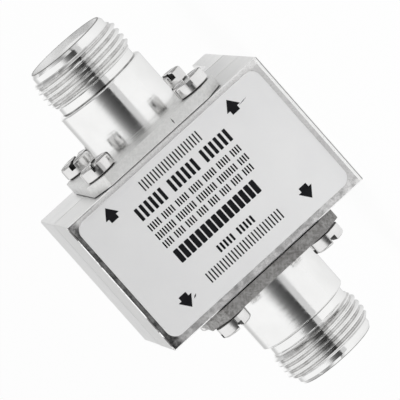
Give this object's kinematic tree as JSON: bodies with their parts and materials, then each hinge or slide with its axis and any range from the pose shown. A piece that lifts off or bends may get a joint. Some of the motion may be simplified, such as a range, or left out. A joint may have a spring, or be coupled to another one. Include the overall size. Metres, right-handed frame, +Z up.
{
  "type": "coaxial surge protector",
  "caption": "Coaxial surge protector: a metal housing in two halves with a flanged, threaded jack at each end, a label on its front half and an angle bracket that fastens and grounds it.",
  "frame": {"origin": "on the mounting face, straight under the jack axis and midway between the flanges", "axes": "+X along the jack axis to the antenna jack, -Y out of the labelled cover, +Z up from the mounting face"},
  "size_m": [0.063, 0.0442, 0.0385],
  "materials": {
    "cast_metal": "satin, lightly cast",
    "cover_metal": "satin, with a dull milled front face",
    "label_foil": "satin silver film with black print",
    "plated_brass": "bright nickel plate",
    "screw_steel": "bright plated steel",
    "white_plastic": "smooth fluoropolymer",
    "gold_plate": "gold plate",
    "copper": "bare copper",
    "ceramic": "unglazed",
    "blue_coat": "dipped coating"
  },
  "bodies": {
    "root": {"housing": "cast_metal", "cover_plate": "cover_metal", "label_plate": "label_foil", "mounting_bracket": "cast_metal", "bracket_screw_left": "screw_steel", "bracket_screw_right": "screw_steel", "antenna_jack": "plated_brass", "equipment_jack": "plated_brass", "antenna_insulator": "white_plastic", "equipment_insulator": "white_plastic", "antenna_contact": "gold_plate", "equipment_contact": "gold_plate", "antenna_screw_1": "screw_steel", "antenna_screw_2": "screw_steel", "antenna_screw_3": "screw_steel", "antenna_screw_4": "screw_steel", "equipment_screw_1": "screw_steel", "equipment_screw_2": "screw_steel", "equipment_screw_3": "screw_steel", "equipment_screw_4": "screw_steel", "antenna_strip": "copper", "equipment_strip": "copper", "blocking_capacitor": "blue_coat", "gas_tube_line_electrode": "plated_brass", "gas_tube_ground_electrode": "plated_brass", "gas_tube_ceramic": "ceramic", "gas_tube_clip": "copper", "drain_coil": "copper"}
  },
  "joints": []
}
